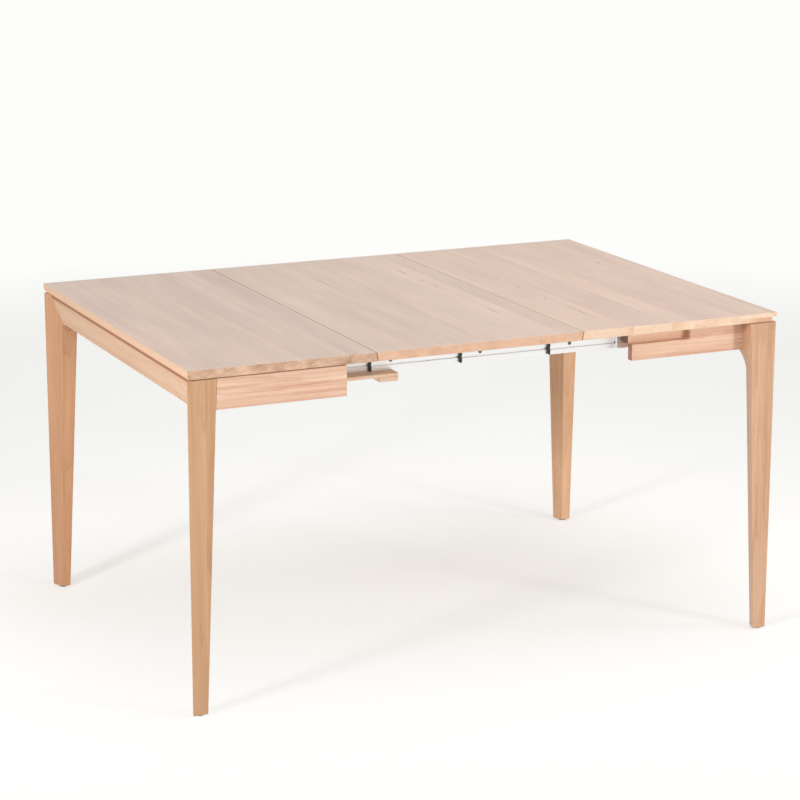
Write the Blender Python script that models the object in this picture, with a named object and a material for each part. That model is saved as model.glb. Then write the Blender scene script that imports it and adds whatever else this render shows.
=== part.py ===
"""Extendable console table, drawn out with two loose leaves fitted.

Metres, +Z up. The origin is the floor point under the middle of the opened table,
X runs along its length with the fixed console frame at -X, and Y runs from front to back.
"""
import math

import bmesh
import bpy
from mathutils import Vector

# Overall sizes
TABLE_HEIGHT = 0.755
TABLE_DEPTH = 1.000
CONSOLE_LENGTH = 0.4258
LEAF_LENGTH = 0.4971
TOP_THICKNESS = 0.020
PANEL_GAP = 0.0008
KEYSTONE_UNDERCUT = 0.004
LIP_THICKNESS = 0.0095
LIP_REACH = 0.012
UNDERCUT_EDGE = 0.0125
UNDERCUT_REACH = 0.005
EDGE_ROUND = 0.0015
SMALL_EDGE_ROUND = 0.0012
SHADOW_GAP = 0.002
TOUCH_GAP = 0.0003

# Legs, as widths across the front face and depths from front to back
LEG_INSET = 0.0025
LEG_TOP_WIDTH = 0.066
LEG_FOOT_WIDTH = 0.0345
LEG_TOP_DEPTH = 0.060
LEG_FOOT_DEPTH = 0.030
LEFT_LEG_SLANT = 0.43
RIGHT_LEG_SLANT = 0.36
LEG_SWEEP_DROP = 0.055
LEG_SWEEP_STEPS = 5
LEG_EDGE_ROUND = 0.0012
GLIDE_RADIUS = 0.009
GLIDE_HEIGHT = 0.003

# Rails and aprons
LEFT_RAIL_TOP_INSET = 0.0087
LEFT_RAIL_BOTTOM_INSET = 0.026
LEFT_RAIL_DEPTH = 0.045
RIGHT_RAIL_DEPTH = 0.034
RAIL_OVERLAP = 0.015
RAIL_HEIGHT = 0.067
KNEE_RADIUS = 0.028
LEFT_APRON_THICKNESS = 0.018
LEFT_APRON_SETBACK = 0.001
RIGHT_APRON_THICKNESS = 0.0175
RIGHT_APRON_SETBACK = 0.0385
RIGHT_APRON_REACH = 0.353
APRON_HEIGHT = 0.067
NESTING_CLEARANCE = 0.001
NOTCH_LENGTH = 0.150
NOTCH_DEPTH = 0.030
TENON_THICKNESS = 0.009
TENON_HEIGHT = 0.038
TENON_LENGTH = 0.018
RAIL_TENON_CHEEK = 0.005
RAIL_TENON_HEIGHT = 0.026

# Telescopic slides: six members on each side, five stages
MEMBER_LENGTH = 0.325
MEMBER_HEIGHT = 0.0465
MEMBER_THICKNESS = 0.0067
LANE_GAP = 0.0003
GROOVE_HEIGHTS = (0.0132, 0.0333)
GROOVE_DEPTH = 0.0030
GROOVE_NECK = 0.0054
GROOVE_FLARE = 0.0007
CAP_LENGTH = 0.005
DRAW_SHARE_A = 0.2033
DRAW_SHARE_B = 0.2030
DRAW_SHARE_C = 0.2130
DRAW_SHARE_D = 0.2130

# Wooden members of the slides
RUNNER_THICKNESS = 0.0225
RUNNER_HEIGHT = 0.032
BEARER_THICKNESS = 0.025
BEARER_HEIGHT = 0.045
CLEAT_LENGTH = 0.140
CLEAT_HEIGHT = 0.026
PLATE_LENGTH = 0.145
PLATE_THICKNESS = 0.008
PLATE_START = 0.109
PLATE_OVERHANG = 0.010
PLATE_BATTEN_WIDTH = 0.045
PLATE_BATTEN_HEIGHT = 0.010

# Battens under the loose leaves
BATTEN_WIDTH = 0.040
BATTEN_HEIGHT = 0.022
BATTEN_MARGIN = 0.040
BATTEN_FROM_BEARER = 0.030

# Screws
SCREW_RADIUS = 0.0025
SCREW_HEAD_RADIUS = 0.0048
SCREW_HEAD_HEIGHT = 0.0030
SCREW_BITE = 0.010
SMALL_SCREW_RADIUS = 0.0016
SMALL_SCREW_HEAD_RADIUS = 0.0030
SMALL_SCREW_HEAD_HEIGHT = 0.0020
SMALL_SCREW_BITE = 0.008
SCREW_END_MARGIN = 0.045
ROUND_SIDES = 20

# Places worked out from the sizes above
OPEN_LENGTH = CONSOLE_LENGTH + 2 * LEAF_LENGTH
END_X = OPEN_LENGTH / 2
JOINT_1_X = -END_X + CONSOLE_LENGTH
JOINT_2_X = JOINT_1_X + LEAF_LENGTH
UNDERSIDE = TABLE_HEIGHT - TOP_THICKNESS
FRAME_TOP = UNDERSIDE - SHADOW_GAP
CARRY_TOP = UNDERSIDE - TOUCH_GAP
LEG_END_X = END_X - TOUCH_GAP
LEG_FACE_Y = TABLE_DEPTH / 2 - LEG_INSET
LEG_BOTTOM = GLIDE_HEIGHT + TOUCH_GAP
RAIL_BOTTOM = FRAME_TOP - RAIL_HEIGHT
KNEE_BOTTOM = RAIL_BOTTOM - KNEE_RADIUS
APRON_BOTTOM = FRAME_TOP - APRON_HEIGHT
LEFT_APRON_REACH = CONSOLE_LENGTH - LEG_TOP_WIDTH - NESTING_CLEARANCE
RIGHT_APRON_FACE = LEG_FACE_Y - RIGHT_APRON_SETBACK
RUNNER_FACE = RIGHT_APRON_FACE - RIGHT_APRON_THICKNESS - TOUCH_GAP
SLIDE_FACE = RUNNER_FACE - RUNNER_THICKNESS - TOUCH_GAP
LANE_PITCH = MEMBER_THICKNESS + LANE_GAP
LANE_COUNT = 6
BEARER_FACE = SLIDE_FACE - LANE_COUNT * LANE_PITCH
MEMBER_BOTTOM = CARRY_TOP - MEMBER_HEIGHT
LEFT_RAIL_INNER_X = -LEG_END_X + LEFT_RAIL_DEPTH
RIGHT_RAIL_INNER_X = LEG_END_X - RIGHT_RAIL_DEPTH
MEMBER_E_X = RIGHT_RAIL_INNER_X - TOUCH_GAP - MEMBER_LENGTH - CAP_LENGTH
MEMBER_Z_X = LEFT_RAIL_INNER_X + TOUCH_GAP + CAP_LENGTH
DRAW = MEMBER_E_X - MEMBER_Z_X
MEMBER_A_X = MEMBER_Z_X + DRAW_SHARE_A * DRAW
MEMBER_B_X = MEMBER_A_X + DRAW_SHARE_B * DRAW
MEMBER_C_X = MEMBER_B_X + DRAW_SHARE_C * DRAW
MEMBER_D_X = MEMBER_C_X + DRAW_SHARE_D * DRAW

SIDES = (("front", -1), ("back", 1))
BODY_ANCHORS = {
    "left_frame": (-END_X, 0.0, 0.0),
    "stage_a": (MEMBER_A_X, 0.0, MEMBER_BOTTOM),
    "stage_b": (MEMBER_B_X, 0.0, MEMBER_BOTTOM),
    "stage_c": (MEMBER_C_X, 0.0, MEMBER_BOTTOM),
    "stage_d": (MEMBER_D_X, 0.0, MEMBER_BOTTOM),
    "right_frame": (END_X, 0.0, 0.0),
    "middle_leaf_body": (JOINT_1_X, 0.0, UNDERSIDE),
    "right_leaf_body": (END_X, 0.0, UNDERSIDE),
}
FINISHES = {
    "oak": ((0.60, 0.42, 0.28, 1.0), 0.45, 0.0),
    "oak_dark": ((0.50, 0.32, 0.20, 1.0), 0.45, 0.0),
    "beech": ((0.55, 0.36, 0.23, 1.0), 0.55, 0.0),
    "aluminium": ((0.80, 0.80, 0.80, 1.0), 0.35, 1.0),
    "black_plastic": ((0.03, 0.03, 0.03, 1.0), 0.50, 0.0),
    "steel": ((0.35, 0.34, 0.33, 1.0), 0.40, 1.0),
}


def clear_scene():
    for obj in list(bpy.data.objects):
        bpy.data.objects.remove(obj, do_unlink=True)


def make_material(name, finish):
    colour, roughness, metallic = FINISHES[finish]
    material = bpy.data.materials.new(name)
    material.use_nodes = True
    shader = material.node_tree.nodes["Principled BSDF"]
    shader.inputs["Base Color"].default_value = colour
    shader.inputs["Roughness"].default_value = roughness
    shader.inputs["Metallic"].default_value = metallic
    return material


def make_bodies():
    bodies = {}
    for name, anchor in BODY_ANCHORS.items():
        empty = bpy.data.objects.new("body_" + name, None)
        empty.location = anchor
        bpy.context.collection.objects.link(empty)
        bodies[name] = empty
    return bodies


def to_object(bm, name, body, finish):
    """Turn world-space geometry into a named object hung on its body's empty."""
    bmesh.ops.recalc_face_normals(bm, faces=bm.faces)
    bmesh.ops.translate(bm, verts=bm.verts, vec=-Vector(BODY_ANCHORS[body]))
    mesh = bpy.data.meshes.new(name)
    bm.to_mesh(mesh)
    bm.free()
    obj = bpy.data.objects.new(name, mesh)
    bpy.context.collection.objects.link(obj)
    obj.parent = BODIES[body]
    mesh.materials.append(make_material(name, finish))
    return obj


def to_cutter(bm, name, body):
    cutter = to_object(bm, name, body, "steel")
    cutter.hide_render = True
    cutter.display_type = "WIRE"
    return cutter


def apply_boolean(obj, other, operation):
    modifier = obj.modifiers.new(operation.lower() + "_" + other.name, "BOOLEAN")
    modifier.operation = operation
    modifier.solver = "EXACT"
    modifier.object = other


def round_edges(obj, width, segments=2):
    modifier = obj.modifiers.new("edge_round", "BEVEL")
    modifier.width = width
    modifier.segments = segments
    modifier.limit_method = "ANGLE"
    modifier.angle_limit = math.radians(35)


def smooth_round(obj):
    obj.data.shade_smooth()
    obj.data.set_sharp_from_angle(angle=math.radians(40))


def add_prism(bm, outline, axis, low, high):
    """Extrude a closed outline of 3-D points, drawn at low, along an axis up to high."""
    verts = []
    for point in outline:
        place = list(point)
        place[axis] = low
        verts.append(bm.verts.new(place))
    face = bm.faces.new(verts)
    grown = bmesh.ops.extrude_face_region(bm, geom=[face])
    new_verts = [item for item in grown["geom"] if isinstance(item, bmesh.types.BMVert)]
    shift = Vector((0.0, 0.0, 0.0))
    shift[axis] = high - low
    bmesh.ops.translate(bm, verts=new_verts, vec=shift)


def add_box(bm, x_range, y_range, z_range):
    x0, x1 = sorted(x_range)
    y0, y1 = sorted(y_range)
    outline = [(x0, y0, 0), (x1, y0, 0), (x1, y1, 0), (x0, y1, 0)]
    add_prism(bm, outline, 2, z_range[0], z_range[1])


def add_cylinder(bm, centre, axis, radius, low, high):
    outline = []
    u, v = [i for i in range(3) if i != axis]
    for step in range(ROUND_SIDES):
        angle = 2 * math.pi * step / ROUND_SIDES
        point = list(centre)
        point[u] += radius * math.cos(angle)
        point[v] += radius * math.sin(angle)
        outline.append(point)
    add_prism(bm, outline, axis, low, high)


def panel(name, body, left_profile, right_profile):
    """A table panel whose two end profiles are lists of (x, z) from the top down."""
    outline = []
    for x, z in left_profile:
        outline.append((x, 0.0, z))
    for x, z in reversed(right_profile):
        outline.append((x, 0.0, z))
    bm = bmesh.new()
    add_prism(bm, outline, 1, -TABLE_DEPTH / 2, TABLE_DEPTH / 2)
    obj = to_object(bm, name, body, "oak")
    round_edges(obj, EDGE_ROUND)
    return obj


def lip_profile():
    """Right end of the table: full thickness stops short, a thinner lip runs on to the end."""
    return [
        (END_X, TABLE_HEIGHT),
        (END_X, TABLE_HEIGHT - LIP_THICKNESS),
        (END_X - LIP_REACH, TABLE_HEIGHT - LIP_THICKNESS),
        (END_X - LIP_REACH, UNDERSIDE),
    ]


def undercut_profile():
    """Left end of the table: a straight edge with a slanted undercut below it."""
    return [
        (-END_X, TABLE_HEIGHT),
        (-END_X, TABLE_HEIGHT - UNDERCUT_EDGE),
        (-END_X + UNDERCUT_REACH, UNDERSIDE),
    ]


def slanted_profile(x, lean):
    return [(x, TABLE_HEIGHT), (x + lean, UNDERSIDE)]


def make_tops():
    half = PANEL_GAP / 2
    lean = KEYSTONE_UNDERCUT
    console = panel("console_top", "left_frame", undercut_profile(), slanted_profile(JOINT_1_X - half, lean))
    panel(
        "middle_leaf",
        "middle_leaf_body",
        slanted_profile(JOINT_1_X + half, lean),
        slanted_profile(JOINT_2_X - half, -lean),
    )
    panel("right_leaf", "right_leaf_body", slanted_profile(JOINT_2_X + half, -lean), lip_profile())
    return console


def leg_section(z, x_sign, grow=0.0):
    """Corners of a leg at height z, as (inward from the end, inward from the face).

    Every leg is slanted on its -X side only, so the slant is outside on the left and inside on the right.
    """
    share = (z - LEG_BOTTOM) / (FRAME_TOP - LEG_BOTTOM)
    width = LEG_FOOT_WIDTH + share * (LEG_TOP_WIDTH - LEG_FOOT_WIDTH)
    depth = LEG_FOOT_DEPTH + share * (LEG_TOP_DEPTH - LEG_FOOT_DEPTH)
    facet = 0.0
    inner = 0.0
    if x_sign < 0:
        facet = LEFT_LEG_SLANT * depth
    else:
        swept = max(0.0, min(1.0, (APRON_BOTTOM - z) / LEG_SWEEP_DROP))
        inner = RIGHT_LEG_SLANT * depth * math.sin(math.pi / 2 * swept)
    return [
        (-grow, -grow),
        (width + grow, -grow),
        (width - inner + grow, depth + grow),
        (facet - grow, depth + grow),
    ]


def add_leg(bm, x_sign, y_sign, grow=0.0):
    levels = [LEG_BOTTOM]
    for step in range(LEG_SWEEP_STEPS, -1, -1):
        levels.append(APRON_BOTTOM - LEG_SWEEP_DROP * step / LEG_SWEEP_STEPS)
    levels.append(FRAME_TOP)
    rings = []
    for z in levels:
        height = z + (grow if z == FRAME_TOP else 0.0)
        ring = []
        for inward_x, inward_y in leg_section(z, x_sign, grow):
            place = (x_sign * (LEG_END_X - inward_x), y_sign * (LEG_FACE_Y - inward_y), height)
            ring.append(bm.verts.new(place))
        rings.append(ring)
    bm.faces.new(rings[0])
    bm.faces.new(rings[-1])
    for low, high in zip(rings, rings[1:]):
        for i in range(4):
            j = (i + 1) % 4
            bm.faces.new((low[i], low[j], high[j]))
            bm.faces.new((low[i], high[j], high[i]))


def apron_frame(side):
    """Setback and thickness of the aprons on one side of the table."""
    if side == "left":
        return LEFT_APRON_SETBACK, LEFT_APRON_THICKNESS
    return RIGHT_APRON_SETBACK, RIGHT_APRON_THICKNESS


def add_apron_tenon(bm, side, x_sign, y_sign, grow=0.0):
    setback, thickness = apron_frame(side)
    middle = LEG_FACE_Y - setback - thickness / 2
    low = APRON_BOTTOM + (APRON_HEIGHT - TENON_HEIGHT) / 2
    shoulder = LEG_END_X - LEG_TOP_WIDTH
    tip = shoulder + TENON_LENGTH
    add_box(
        bm,
        (x_sign * (shoulder - TENON_LENGTH), x_sign * (tip + grow)),
        (y_sign * (middle - TENON_THICKNESS / 2 - grow), y_sign * (middle + TENON_THICKNESS / 2 + grow)),
        (low - grow, low + TENON_HEIGHT + grow),
    )


def add_rail_tenon(bm, x_sign, y_sign, grow=0.0):
    depth = LEFT_RAIL_DEPTH if x_sign < 0 else RIGHT_RAIL_DEPTH
    inner = LEG_END_X - depth + RAIL_TENON_CHEEK
    shoulder = LEG_FACE_Y - LEG_TOP_DEPTH
    low = RAIL_BOTTOM + (RAIL_HEIGHT - RAIL_TENON_HEIGHT) / 2
    add_box(
        bm,
        (x_sign * (inner - grow), x_sign * (inner + TENON_THICKNESS + grow)),
        (y_sign * (shoulder - TENON_LENGTH), y_sign * (shoulder + TENON_LENGTH + grow)),
        (low - grow, low + RAIL_TENON_HEIGHT + grow),
    )


def make_legs(side, x_sign):
    """Tapered legs with slanted sides, mortised for the apron and the end rail."""
    body = side + "_frame"
    for place, y_sign in SIDES:
        bm = bmesh.new()
        add_leg(bm, x_sign, y_sign)
        bmesh.ops.dissolve_limit(bm, angle_limit=math.radians(0.5), verts=bm.verts, edges=bm.edges)
        leg = to_object(bm, f"{side}_leg_{place}", body, "oak_dark")
        round_edges(leg, LEG_EDGE_ROUND, 1)
        mortises = bmesh.new()
        add_apron_tenon(mortises, side, x_sign, y_sign, TOUCH_GAP)
        apply_boolean(leg, to_cutter(mortises, f"apron_mortise_{side}_{place}", body), "DIFFERENCE")
        mortises = bmesh.new()
        add_rail_tenon(mortises, x_sign, y_sign, TOUCH_GAP)
        apply_boolean(leg, to_cutter(mortises, f"rail_mortise_{side}_{place}", body), "DIFFERENCE")


def leg_cutter(side, place, x_sign, y_sign, user):
    bm = bmesh.new()
    add_leg(bm, x_sign, y_sign, TOUCH_GAP)
    return to_cutter(bm, f"{user}_scribe_{side}_{place}", side + "_frame")


def knee_outline(x_sign):
    """Lower edge of an end rail from one leg to the other, with a quarter-round knee at each."""
    reach = LEG_FACE_Y - RAIL_OVERLAP
    corner = LEG_FACE_Y - leg_section(KNEE_BOTTOM, x_sign)[2][1]
    points = [(-reach, KNEE_BOTTOM), (-corner, KNEE_BOTTOM)]
    steps = 8
    for step in range(1, steps + 1):
        angle = math.pi / 2 * step / steps
        y = -corner + KNEE_RADIUS * (1 - math.cos(angle))
        z = RAIL_BOTTOM - KNEE_RADIUS * (1 - math.sin(angle))
        points.append((y, z))
    mirrored = [(-y, z) for y, z in reversed(points)]
    return points + mirrored


def slope_left_rail(bm):
    """Plane the outer face of the left rail so that it leans inwards towards its lower edge."""
    top = Vector((-LEG_END_X + LEFT_RAIL_TOP_INSET, 0.0, FRAME_TOP))
    bottom = Vector((-LEG_END_X + LEFT_RAIL_BOTTOM_INSET, 0.0, RAIL_BOTTOM))
    normal = Vector((0.0, 1.0, 0.0)).cross(bottom - top)
    if normal.x > 0:
        normal.negate()
    everything = bm.verts[:] + bm.edges[:] + bm.faces[:]
    cut = bmesh.ops.bisect_plane(bm, geom=everything, plane_co=top, plane_no=normal, clear_outer=True)
    rim = [item for item in cut["geom_cut"] if isinstance(item, bmesh.types.BMEdge)]
    bmesh.ops.edgenet_fill(bm, edges=rim)


def make_end_rail(side, x_sign):
    """Rail between the two legs of a frame, scribed to them and tenoned into them."""
    body = side + "_frame"
    outline = [(0.0, y, z) for y, z in knee_outline(x_sign)]
    reach = LEG_FACE_Y - RAIL_OVERLAP
    outline += [(0.0, reach, FRAME_TOP), (0.0, -reach, FRAME_TOP)]
    bm = bmesh.new()
    inner = LEFT_RAIL_INNER_X if side == "left" else RIGHT_RAIL_INNER_X
    low, high = sorted((x_sign * LEG_END_X, inner))
    add_prism(bm, outline, 0, low, high)
    if side == "left":
        slope_left_rail(bm)
    rail = to_object(bm, f"{side}_end_rail", body, "oak")
    round_edges(rail, EDGE_ROUND)
    for place, y_sign in SIDES:
        apply_boolean(rail, leg_cutter(side, place, x_sign, y_sign, "rail"), "DIFFERENCE")
        tenon = bmesh.new()
        add_rail_tenon(tenon, x_sign, y_sign)
        apply_boolean(rail, to_cutter(tenon, f"rail_tenon_{side}_{place}", body), "UNION")


def make_aprons(side, x_sign):
    """Aprons from each leg to a free end. The right ones are notched to pass the left cleats."""
    body = side + "_frame"
    setback, thickness = apron_frame(side)
    free_end = END_X - (LEFT_APRON_REACH if side == "left" else RIGHT_APRON_REACH)
    for place, y_sign in SIDES:
        leg_side = LEG_END_X - LEG_TOP_WIDTH / 2
        outline = [(leg_side, APRON_BOTTOM), (free_end, APRON_BOTTOM)]
        if side == "right":
            outline += [(free_end, FRAME_TOP - NOTCH_DEPTH), (free_end + NOTCH_LENGTH, FRAME_TOP - NOTCH_DEPTH)]
            outline += [(free_end + NOTCH_LENGTH, FRAME_TOP)]
        else:
            outline += [(free_end, FRAME_TOP)]
        outline += [(leg_side, FRAME_TOP)]
        face = LEG_FACE_Y - setback
        low, high = sorted((y_sign * face, y_sign * (face - thickness)))
        bm = bmesh.new()
        add_prism(bm, [(x_sign * x, 0.0, z) for x, z in outline], 1, low, high)
        apron = to_object(bm, f"{side}_apron_{place}", body, "oak")
        round_edges(apron, EDGE_ROUND)
        apply_boolean(apron, leg_cutter(side, place, x_sign, y_sign, "apron"), "DIFFERENCE")
        tenon = bmesh.new()
        add_apron_tenon(tenon, side, x_sign, y_sign)
        apply_boolean(apron, to_cutter(tenon, f"apron_tenon_{side}_{place}", body), "UNION")


def make_glides(side, x_sign):
    for place, y_sign in SIDES:
        corners = leg_section(LEG_BOTTOM, x_sign)
        inward_x = sum(corner[0] for corner in corners) / 4
        inward_y = sum(corner[1] for corner in corners) / 4
        centre = (x_sign * (LEG_END_X - inward_x), y_sign * (LEG_FACE_Y - inward_y), 0.0)
        bm = bmesh.new()
        add_cylinder(bm, centre, 2, GLIDE_RADIUS, 0.0, GLIDE_HEIGHT)
        smooth_round(to_object(bm, f"{side}_foot_glide_{place}", side + "_frame", "black_plastic"))


def member_outline(lane, y_sign, with_tongues):
    """Section of a slide member: dovetail grooves on its outer face, tongues on its inner face."""
    back = SLIDE_FACE - lane * LANE_PITCH - MEMBER_THICKNESS
    front = back + MEMBER_THICKNESS
    groove_tip = front - GROOVE_DEPTH
    tongue_tip = back - GROOVE_DEPTH - LANE_GAP + 2 * TOUCH_GAP
    neck = GROOVE_NECK / 2
    points = [(back, 0.0)]
    if with_tongues:
        for height in GROOVE_HEIGHTS:
            thin = neck - TOUCH_GAP
            points += [(back, height - thin), (tongue_tip, height - thin - GROOVE_FLARE)]
            points += [(tongue_tip, height + thin + GROOVE_FLARE), (back, height + thin)]
    points += [(back, MEMBER_HEIGHT), (front, MEMBER_HEIGHT)]
    for height in reversed(GROOVE_HEIGHTS):
        points += [(front, height + neck), (groove_tip, height + neck + GROOVE_FLARE)]
        points += [(groove_tip, height - neck - GROOVE_FLARE), (front, height - neck)]
    points.append((front, 0.0))
    return [(0.0, y_sign * y, MEMBER_BOTTOM + z) for y, z in points]


def make_member(name, body, left_end, lane, y_sign):
    bm = bmesh.new()
    with_tongues = lane < LANE_COUNT - 1
    outline = member_outline(lane, y_sign, with_tongues)
    add_prism(bm, outline, 0, left_end, left_end + MEMBER_LENGTH)
    return to_object(bm, name, body, "aluminium")


def make_cap(name, body, left_end, lane, y_sign):
    """Black end cap on the left end of a member."""
    bm = bmesh.new()
    face = SLIDE_FACE - lane * LANE_PITCH
    add_box(
        bm,
        (left_end - CAP_LENGTH, left_end - TOUCH_GAP),
        (y_sign * face, y_sign * (face - MEMBER_THICKNESS)),
        (MEMBER_BOTTOM, CARRY_TOP),
    )
    round_edges(to_object(bm, name, body, "black_plastic"), SMALL_EDGE_ROUND)


def make_slides():
    """Members from the right-fixed one, in the outermost lane, to the left-fixed one."""
    members = {}
    lanes = (
        ("right_slide", "right_frame", MEMBER_E_X),
        ("slide_d", "stage_d", MEMBER_D_X),
        ("slide_c", "stage_c", MEMBER_C_X),
        ("slide_b", "stage_b", MEMBER_B_X),
        ("slide_a", "stage_a", MEMBER_A_X),
        ("left_slide", "left_frame", MEMBER_Z_X),
    )
    for lane, (name, body, left_end) in enumerate(lanes):
        for place, y_sign in SIDES:
            members[f"{name}_{place}"] = make_member(f"{name}_{place}", body, left_end, lane, y_sign)
            make_cap(f"{name}_cap_{place}", body, left_end, lane, y_sign)
    return members


def make_runners():
    """Wooden runners behind the right aprons, which carry the right-fixed members."""
    start = END_X - RIGHT_APRON_REACH - CAP_LENGTH
    for place, y_sign in SIDES:
        bm = bmesh.new()
        add_box(
            bm,
            (start, RIGHT_RAIL_INNER_X - TOUCH_GAP),
            (y_sign * RUNNER_FACE, y_sign * (RUNNER_FACE - RUNNER_THICKNESS)),
            (CARRY_TOP - RUNNER_HEIGHT, CARRY_TOP),
        )
        runner = to_object(bm, "right_runner_" + place, "right_frame", "beech")
        round_edges(runner, EDGE_ROUND, 1)
        apply_boolean(runner, leg_cutter("right", place, 1, y_sign, "runner"), "DIFFERENCE")


def make_bearers():
    """Wooden bearers that carry the left-fixed members and the console top."""
    bearers = {}
    for place, y_sign in SIDES:
        bm = bmesh.new()
        add_box(
            bm,
            (LEFT_RAIL_INNER_X + TOUCH_GAP, -END_X + LEFT_APRON_REACH),
            (y_sign * BEARER_FACE, y_sign * (BEARER_FACE - BEARER_THICKNESS)),
            (CARRY_TOP - BEARER_HEIGHT, CARRY_TOP),
        )
        bearers[place] = to_object(bm, "left_bearer_" + place, "left_frame", "beech")
        round_edges(bearers[place], EDGE_ROUND, 1)
    return bearers


def make_cleats():
    """Short cleats behind the left aprons, which fill the right notches when the table is shut."""
    outer = LEG_FACE_Y - LEFT_APRON_SETBACK - LEFT_APRON_THICKNESS - TOUCH_GAP
    inner = RIGHT_APRON_FACE - RIGHT_APRON_THICKNESS
    start = -LEG_END_X + LEG_TOP_WIDTH + TOUCH_GAP
    for place, y_sign in SIDES:
        bm = bmesh.new()
        add_box(
            bm,
            (start, start + CLEAT_LENGTH),
            (y_sign * outer, y_sign * inner),
            (CARRY_TOP - CLEAT_HEIGHT, CARRY_TOP),
        )
        round_edges(to_object(bm, "left_cleat_" + place, "left_frame", "beech"), EDGE_ROUND, 1)


def make_cross_plate():
    """Plate with a batten, screwed up into both members of stage a to keep them parallel."""
    start = MEMBER_A_X + PLATE_START
    end = start + PLATE_LENGTH
    reach = SLIDE_FACE + PLATE_OVERHANG
    plate_top = MEMBER_BOTTOM - TOUCH_GAP
    plate_bottom = plate_top - PLATE_THICKNESS
    batten_top = plate_bottom - TOUCH_GAP
    bm = bmesh.new()
    add_box(bm, (start, end), (-reach, reach), (plate_bottom, plate_top))
    plate = to_object(bm, "cross_plate", "stage_a", "oak")
    round_edges(plate, SMALL_EDGE_ROUND, 1)
    bm = bmesh.new()
    add_box(bm, (end - PLATE_BATTEN_WIDTH, end), (-reach, reach), (batten_top - PLATE_BATTEN_HEIGHT, batten_top))
    round_edges(to_object(bm, "cross_plate_batten", "stage_a", "oak"), SMALL_EDGE_ROUND, 1)
    return plate, start, plate_bottom


def make_leaf_battens():
    """Two battens under each loose leaf, clear of the slides."""
    outer = BEARER_FACE - BEARER_THICKNESS - BATTEN_FROM_BEARER
    spans = (
        ("middle_leaf", JOINT_1_X + BATTEN_MARGIN, JOINT_2_X - BATTEN_MARGIN),
        ("right_leaf", JOINT_2_X + BATTEN_MARGIN, RIGHT_RAIL_INNER_X - BATTEN_MARGIN),
    )
    for leaf, start, end in spans:
        for place, y_sign in SIDES:
            bm = bmesh.new()
            add_box(
                bm,
                (start, end),
                (y_sign * outer, y_sign * (outer - BATTEN_WIDTH)),
                (CARRY_TOP - BATTEN_HEIGHT, CARRY_TOP),
            )
            batten = to_object(bm, f"{leaf}_batten_{place}", leaf + "_body", "beech")
            round_edges(batten, EDGE_ROUND, 1)


def make_screw(name, body, seat, sizes, length):
    """An upright screw with its head below the seat, and the hidden cutter of its hole."""
    radius, head_radius, head_height = sizes
    profile = ((-head_height, head_radius), (0.0, head_radius), (0.0, radius), (length, radius))
    bm = bmesh.new()
    rings = []
    for rise, ring_radius in profile:
        ring = []
        for step in range(ROUND_SIDES):
            angle = 2 * math.pi * step / ROUND_SIDES
            x = seat[0] + ring_radius * math.cos(angle)
            y = seat[1] + ring_radius * math.sin(angle)
            ring.append(bm.verts.new((x, y, seat[2] + rise)))
        rings.append(ring)
    bm.faces.new(rings[0])
    bm.faces.new(rings[-1])
    for low, high in zip(rings, rings[1:]):
        for i in range(ROUND_SIDES):
            j = (i + 1) % ROUND_SIDES
            bm.faces.new((low[i], low[j], high[j], high[i]))
    smooth_round(to_object(bm, name, body, "steel"))
    hole = bmesh.new()
    add_cylinder(hole, seat, 2, radius + TOUCH_GAP, seat[2] - TOUCH_GAP, seat[2] + length + TOUCH_GAP)
    return to_cutter(hole, name + "_hole", body)


def make_top_screws(console, bearers):
    """Two screws up through each bearer into the console top."""
    sizes = (SCREW_RADIUS, SCREW_HEAD_RADIUS, SCREW_HEAD_HEIGHT)
    ends = (LEFT_RAIL_INNER_X + SCREW_END_MARGIN, -END_X + LEFT_APRON_REACH - SCREW_END_MARGIN)
    middle = BEARER_FACE - BEARER_THICKNESS / 2
    seat = CARRY_TOP - BEARER_HEIGHT - TOUCH_GAP
    for place, y_sign in SIDES:
        for number, x in enumerate(ends, 1):
            name = f"top_screw_{place}_{number}"
            hole = make_screw(name, "left_frame", (x, y_sign * middle, seat), sizes, BEARER_HEIGHT + SCREW_BITE)
            apply_boolean(console, hole, "DIFFERENCE")
            apply_boolean(bearers[place], hole, "DIFFERENCE")


def make_plate_screws(members, plate, start, plate_bottom):
    """A screw up through the cross plate into each member of stage a."""
    sizes = (SMALL_SCREW_RADIUS, SMALL_SCREW_HEAD_RADIUS, SMALL_SCREW_HEAD_HEIGHT)
    lane = LANE_COUNT - 2
    middle = SLIDE_FACE - lane * LANE_PITCH - MEMBER_THICKNESS / 2
    x = start + (PLATE_LENGTH - PLATE_BATTEN_WIDTH) / 2
    for place, y_sign in SIDES:
        seat = (x, y_sign * middle, plate_bottom - TOUCH_GAP)
        hole = make_screw("plate_screw_" + place, "stage_a", seat, sizes, PLATE_THICKNESS + SMALL_SCREW_BITE)
        apply_boolean(plate, hole, "DIFFERENCE")
        apply_boolean(members["slide_a_" + place], hole, "DIFFERENCE")


clear_scene()
BODIES = make_bodies()
CONSOLE_TOP = make_tops()
for SIDE, X_SIGN in (("left", -1), ("right", 1)):
    make_legs(SIDE, X_SIGN)
    make_end_rail(SIDE, X_SIGN)
    make_aprons(SIDE, X_SIGN)
    make_glides(SIDE, X_SIGN)
MEMBERS = make_slides()
make_runners()
make_cleats()
make_top_screws(CONSOLE_TOP, make_bearers())
make_plate_screws(MEMBERS, *make_cross_plate())
make_leaf_battens()
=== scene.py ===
import math

import bpy
from mathutils import Matrix, Vector


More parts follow.
